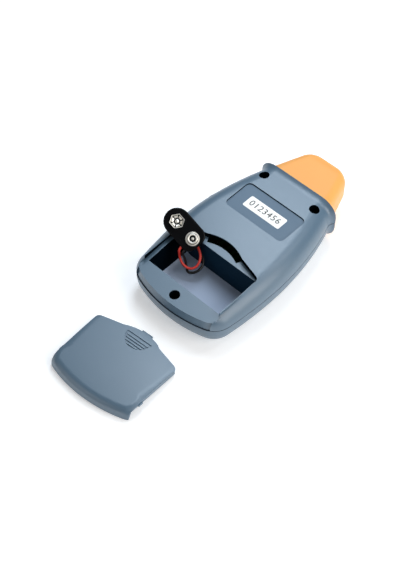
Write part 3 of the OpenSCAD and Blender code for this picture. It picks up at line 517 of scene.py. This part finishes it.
def snapPoints(local):  # millimetres on the snap's face to metres in the part's frame
    def about(axis, degrees):
        c, s = np.cos(radians(degrees)), np.sin(radians(degrees))
        return np.array({"z": [[c, -s, 0], [s, c, 0], [0, 0, 1]],
                         "y": [[c, 0, s], [0, 1, 0], [-s, 0, c]]}[axis])
    turn = about("z", snap["turn"]) @ about("y", snap["lean"]) @ about("z", snap["spin"])
    return (np.asarray(local) @ turn.T + snap["centre"]) * mm


# Contact profiles as rows of radius and height in millimetres; the last number says whether the
# band up to the next row is painted black as shade in a recess. The socket's radii are shares of its outer
# one
contactCrease = 38
socket = {"outer": 4.3, "slit": 0.13, "slitDepth": 0.35, "leaf": (0.44, 0.84), "roundShare": 0.92,
          "roundBelow": 0.4, "growth": 0.5, "cornerShare": 0.985, "around": 144, "rows": [
    (1.0, 0.0, 0), (1.0, 2.2, 0), (0.985, 2.45, 0), (0.95, 2.6, 0), (0.89, 2.55, 0), (0.86, 2.3, 1),
    (0.80, 2.0, 0), (0.70, 1.55, 0), (0.58, 1.2, 0), (0.46, 1.1, 1), (0.40, 0.8, 1), (0.30, 0.8, 0),
    (0.26, 1.3, 0), (0.16, 1.55, 0), (0.02, 1.6, 0)]}
stud = {"around": 96, "rows": [
    (3.9, 0.0, 0), (3.9, 0.3, 0), (3.75, 0.48, 0), (3.1, 0.55, 1), (2.7, 0.6, 1), (2.5, 0.8, 1),
    (2.5, 1.35, 0), (2.75, 1.65, 0), (2.85, 1.9, 0), (2.85, 2.5, 0), (2.75, 2.76, 0), (2.5, 2.9, 0),
    (2.2, 2.9, 0), (1.85, 2.75, 1), (1.7, 2.4, 1), (1.65, 1.2, 1), (1.4, 0.95, 1), (1.2, 1.0, 0),
    (1.0, 1.6, 0), (0.6, 1.9, 0), (0.02, 2.0, 0)]}


def makeContact(name, node, side, around, radius, height, shadeBand):
    # rings of points carried round the contact's axis, closed at both ends
    angle = np.linspace(0, 2 * np.pi, around, endpoint=False)
    x = radius * np.cos(angle) + side * snap["pitch"] / 2
    y = radius * np.sin(angle)
    rows = len(radius)
    points = snapPoints(np.stack([x, y, height], -1).reshape(-1, 3))
    # the marked bands are painted black as shade
    piece = addMesh(name, "contactNickel", points, [
        *gridFaces(rows, around, True),
        range(around * (rows - 1), around * rows), reversed(range(around))],
        np.append(shadeBand[:-1].ravel(), [0, 0]))
    piece.data.set_sharp_from_angle(angle=radians(contactCrease))
    wear(piece, "case", node, "nickel")
    pieces[node] = piece


def makeSocket(s):
    # the cup is hexagonal at its rim and grows round towards its middle; slits part its six leaves
    angle = np.linspace(0, 2 * np.pi, s["around"], endpoint=False)
    share, height, shadeBand = (column[:, None] for column in np.array(s["rows"]).T)
    sixth = (angle + np.pi / 6) % (np.pi / 3) - np.pi / 6
    hexagon = np.cos(np.pi / 6) / np.cos((angle % (np.pi / 3)) - np.pi / 6)
    sharpness = np.clip((share - s["roundBelow"]) / s["growth"], 0, 1)
    outline = (sharpness * np.minimum(hexagon, s["cornerShare"])
               + (1 - sharpness) * s["roundShare"])
    leaf = (share > s["leaf"][0]) & (share < s["leaf"][1])
    slit = leaf & (np.abs(sixth)[None, :] < s["slit"])
    # the slits and the marked bands are painted black as shade
    makeContact("snapSocketCup", "snap_socket", -1, s["around"], s["outer"] * share * outline,
                np.where(slit, height - s["slitDepth"], height),
                np.maximum(np.repeat(shadeBand, s["around"], 1), slit))


def makeStud(s):
    columns = np.array(s["rows"]).T
    radius, height, shadeBand = (np.repeat(column[:, None], s["around"], 1) for column in columns)
    makeContact("snapStudPost", "snap_stud", 1, s["around"], radius, height, shadeBand)


makeStud(stud)
makeSocket(socket)
print("snap contacts made")


# The leads: routes of the part's source, in millimetres, smoothed by the same curve
leads = {
    "red_lead": {"finish": "redWire", "slot": "red_wire", "ends": ("snap_pad", "snap_socket"), "route": [
        (-15, -20.4, 10.4), (-15, -20.4, 12.6), (-15, -21, 15.4), (-15.2, -22.6, 17.6),
        (-15.4, -25, 19), (-14.8, -26.8, 19), (-12.4, -28, 17.8), (-10.2, -29.6, 16.2),
        (-9, -31.8, 14.4), (-9, -34.4, 12.8), (-10.4, -36.8, 12.2), (-12.8, -38.2, 12.8),
        (-15.4, -38.6, 14.6), (-17.2, -38.4, 17.2), (-18, -38, 19.8), (-18.4, -37.6, 22.2),
        (-18.3, -36, 23.9)]},
    "black_lead": {"finish": "blackWire", "slot": "black_wire", "ends": ("snap_pad", "snap_stud"), "route": [
        (-17.4, -20.4, 10.4), (-17.4, -20.4, 12.4), (-17.4, -21, 15), (-17.2, -22.6, 17.2),
        (-16.6, -25, 17.7), (-15.2, -26.8, 17.1), (-12, -27.4, 15.6), (-9, -28.6, 14.2),
        (-7.2, -31, 12.6), (-7, -34.2, 11.2), (-8.6, -37, 10.2), (-11, -38.4, 10),
        (-13.2, -37.4, 11), (-14.6, -36.6, 13.6), (-15.4, -36.6, 16.8), (-15.9, -37.2, 19.4),
        (-16.2, -37.2, 21.2), (-16, -35.6, 22.9)]},
}
leadShape = {"diameter": 1.4 * mm, "steps": 8, "roundness": 4}


def smoothRoute(route, steps):
    # Catmull-Rom: each span is a cubic through its two points, with slopes from their neighbours
    p = np.array(route, float)
    p = np.vstack([p[:1], p, p[-1:]])
    t = np.linspace(0, 1, steps, endpoint=False)[None, :, None]
    a, b, c, d = (p[k:len(p) - 3 + k, None, :] for k in range(4))
    spans = 0.5 * (2 * b + (c - a) * t + (2 * a - 5 * b + 4 * c - d) * t ** 2
                   + (3 * b - a - 3 * c + d) * t ** 3)
    return np.vstack([spans.reshape(-1, 3), p[-1:]]) * mm


def makeLead(node, look):
    points = smoothRoute(look["route"], leadShape["steps"])
    curve = bpy.data.curves.new(node + "Wire", "CURVE")
    curve.dimensions = "3D"
    curve.bevel_depth = leadShape["diameter"] / 2
    curve.bevel_resolution = leadShape["roundness"]
    curve.use_fill_caps = True
    spline = curve.splines.new("POLY")
    spline.points.add(len(points) - 1)
    spline.points.foreach_set("co", np.hstack([points, np.ones((len(points), 1))]).ravel())
    spline.use_smooth = True
    curve.materials.append(finishes[look["finish"]])
    piece = bpy.data.objects.new(node + "Wire", curve)
    bpy.context.scene.collection.objects.link(piece)
    wear(piece, "case", node, look["slot"])
    [pieces[name] for name in look["ends"]]


for node, look in leads.items():
    makeLead(node, look)


screw = {"headR": 2.6, "headH": 2.0, "dome": 0.45, "recess": 1.45, "recessDepth": 1.1, "armHalf": 0.36,
         "armSoft": 0.08, "recessSoft": 0.12, "crownRows": 26, "crownEdge": 0.9, "axis": 0.02,
         "rimShare": (0.95, 0.985, 1.0), "rimDrop": (0.62, 0.8, 1.2), "shankR": 1.28, "shankL": 9.0,
         "around": 96, "crease": 35}


def makeScrews(s):
    # a pan head turned about its axis, sunk where a cross of two arms crosses its crown
    low, high = np.array(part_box("case_screws")) / mm
    seatZ = high[2] - s["headH"]
    places = [(high[0] - s["headR"], high[1] - s["headR"]),
              (low[0] + s["headR"], high[1] - s["headR"]),
              ((low[0] + high[0]) / 2, low[1] + s["headR"])]
    angle = np.linspace(0, 2 * np.pi, s["around"], endpoint=False)
    shank = s["shankR"] / s["headR"]
    radius = np.concatenate([np.linspace(s["axis"], s["crownEdge"], s["crownRows"]), s["rimShare"],
                             [1.0, shank, shank, s["axis"]]])
    crown = s["headH"] - s["dome"] * np.linspace(0, 1, s["crownRows"]) ** 2 / 2
    rim = s["headH"] - s["dome"] * np.array(s["rimDrop"])
    height = np.concatenate([crown, rim, [0, 0, -s["shankL"], -s["shankL"]]])
    r = np.repeat(radius[:, None] * s["headR"], s["around"], 1)
    z = np.repeat(height[:, None], s["around"], 1)
    x, y = r * np.cos(angle), r * np.sin(angle)
    arm = np.minimum(np.abs(x), np.abs(y))
    inCross = (np.clip((s["armHalf"] - arm) / s["armSoft"], 0, 1)
               * np.clip((s["recess"] - r) / s["recessSoft"], 0, 1))
    z = z - inCross * s["recessDepth"] * (np.arange(len(radius)) < s["crownRows"])[:, None]
    shape = np.stack([x, y, z], -1).reshape(-1, 3)
    count = len(shape)
    rows = len(radius)
    starts = [k * count for k in range(len(places))]
    faces = np.vstack([gridFaces(rows, s["around"], True) + start for start in starts])[:, ::-1]
    caps = [range(start, start + s["around"]) for start in starts]
    tips = [reversed(range(start + count - s["around"], start + count)) for start in starts]
    points = np.vstack([shape + (px, py, seatZ) for px, py in places]) * mm
    piece = addMesh("crossHeadScrews", "screwSteel", points, [*faces, *caps, *tips])
    piece.data.set_sharp_from_angle(angle=radians(s["crease"]))
    wear(piece, "case", "case_screws", "steel")


makeScrews(screw)
print("screws made")


label = {"corner": 1.0 * mm, "steps": 6, "crease": 30, "text": "0123456", "textHeight": 3.9 * mm,
         "digitShare": 0.69, "spacing": 1.12, "textLift": 0.03 * mm, "textSink": 0.02 * mm}


def makeSticker(s):
    # a rounded rectangle: four corner arcs joined by straight sides, as a thin slab
    low, high = (np.array(corner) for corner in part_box("serial_label"))
    arc = np.linspace(0, np.pi / 2, s["steps"] + 1)
    turn = (np.arange(4)[:, None] * np.pi / 2 + arc[None, :]).ravel()
    side = np.repeat([[1, 1], [-1, 1], [-1, -1], [1, -1]], s["steps"] + 1, 0)
    half = (high - low)[:2] / 2 - s["corner"]
    middle = (low + high)[:2] / 2
    edge = middle + side * half + s["corner"] * np.stack([np.cos(turn), np.sin(turn)], -1)
    n = len(edge)
    bottom = np.column_stack([edge, np.full(n, low[2])])
    top = np.column_stack([edge, np.full(n, high[2])])
    film = addMesh("stickerFilm", "labelFilm", np.vstack([bottom, top]), [
        *gridFaces(2, n, True), range(n, 2 * n), reversed(range(n))])
    film.data.set_sharp_from_angle(angle=radians(s["crease"]))
    wear(film, "case", "serial_label", "label")
    text = bpy.data.curves.new("stickerDigits", "FONT")
    text.body = s["text"]
    text.align_x, text.align_y = "CENTER", "CENTER"
    text.size = s["textHeight"] / s["digitShare"]
    text.space_character = s["spacing"]
    text.extrude = s["textLift"]
    holder = bpy.data.objects.new("stickerDigits", text)
    bpy.context.scene.collection.objects.link(holder)
    bpy.context.view_layer.update()
    mesh = bpy.data.meshes.new_from_object(holder)
    bpy.data.objects.remove(holder)
    points = np.empty(len(mesh.vertices) * 3)
    mesh.vertices.foreach_get("co", points)
    points = points.reshape(-1, 3)
    points += np.append(middle, high[2] + s["textLift"] - s["textSink"])
    mesh.vertices.foreach_set("co", points.ravel())
    mesh.materials.clear()
    mesh.materials.append(finishes["labelPrint"])
    digits = bpy.data.objects.new("stickerDigits", mesh)
    bpy.context.scene.collection.objects.link(digits)
    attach(digits, "case")


makeSticker(label)
print("sticker made")


def makeFloorPlane(s):
    half, z = s["floorHalf"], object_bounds()[0][2] - s["floorDrop"]
    corners = [(-half, -half, z), (half, -half, z), (half, half, z), (-half, half, z)]
    floor = addMesh("floor", "paleFloor", corners, [(0, 1, 2, 3)])
    floor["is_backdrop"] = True


makeFloorPlane(studio)
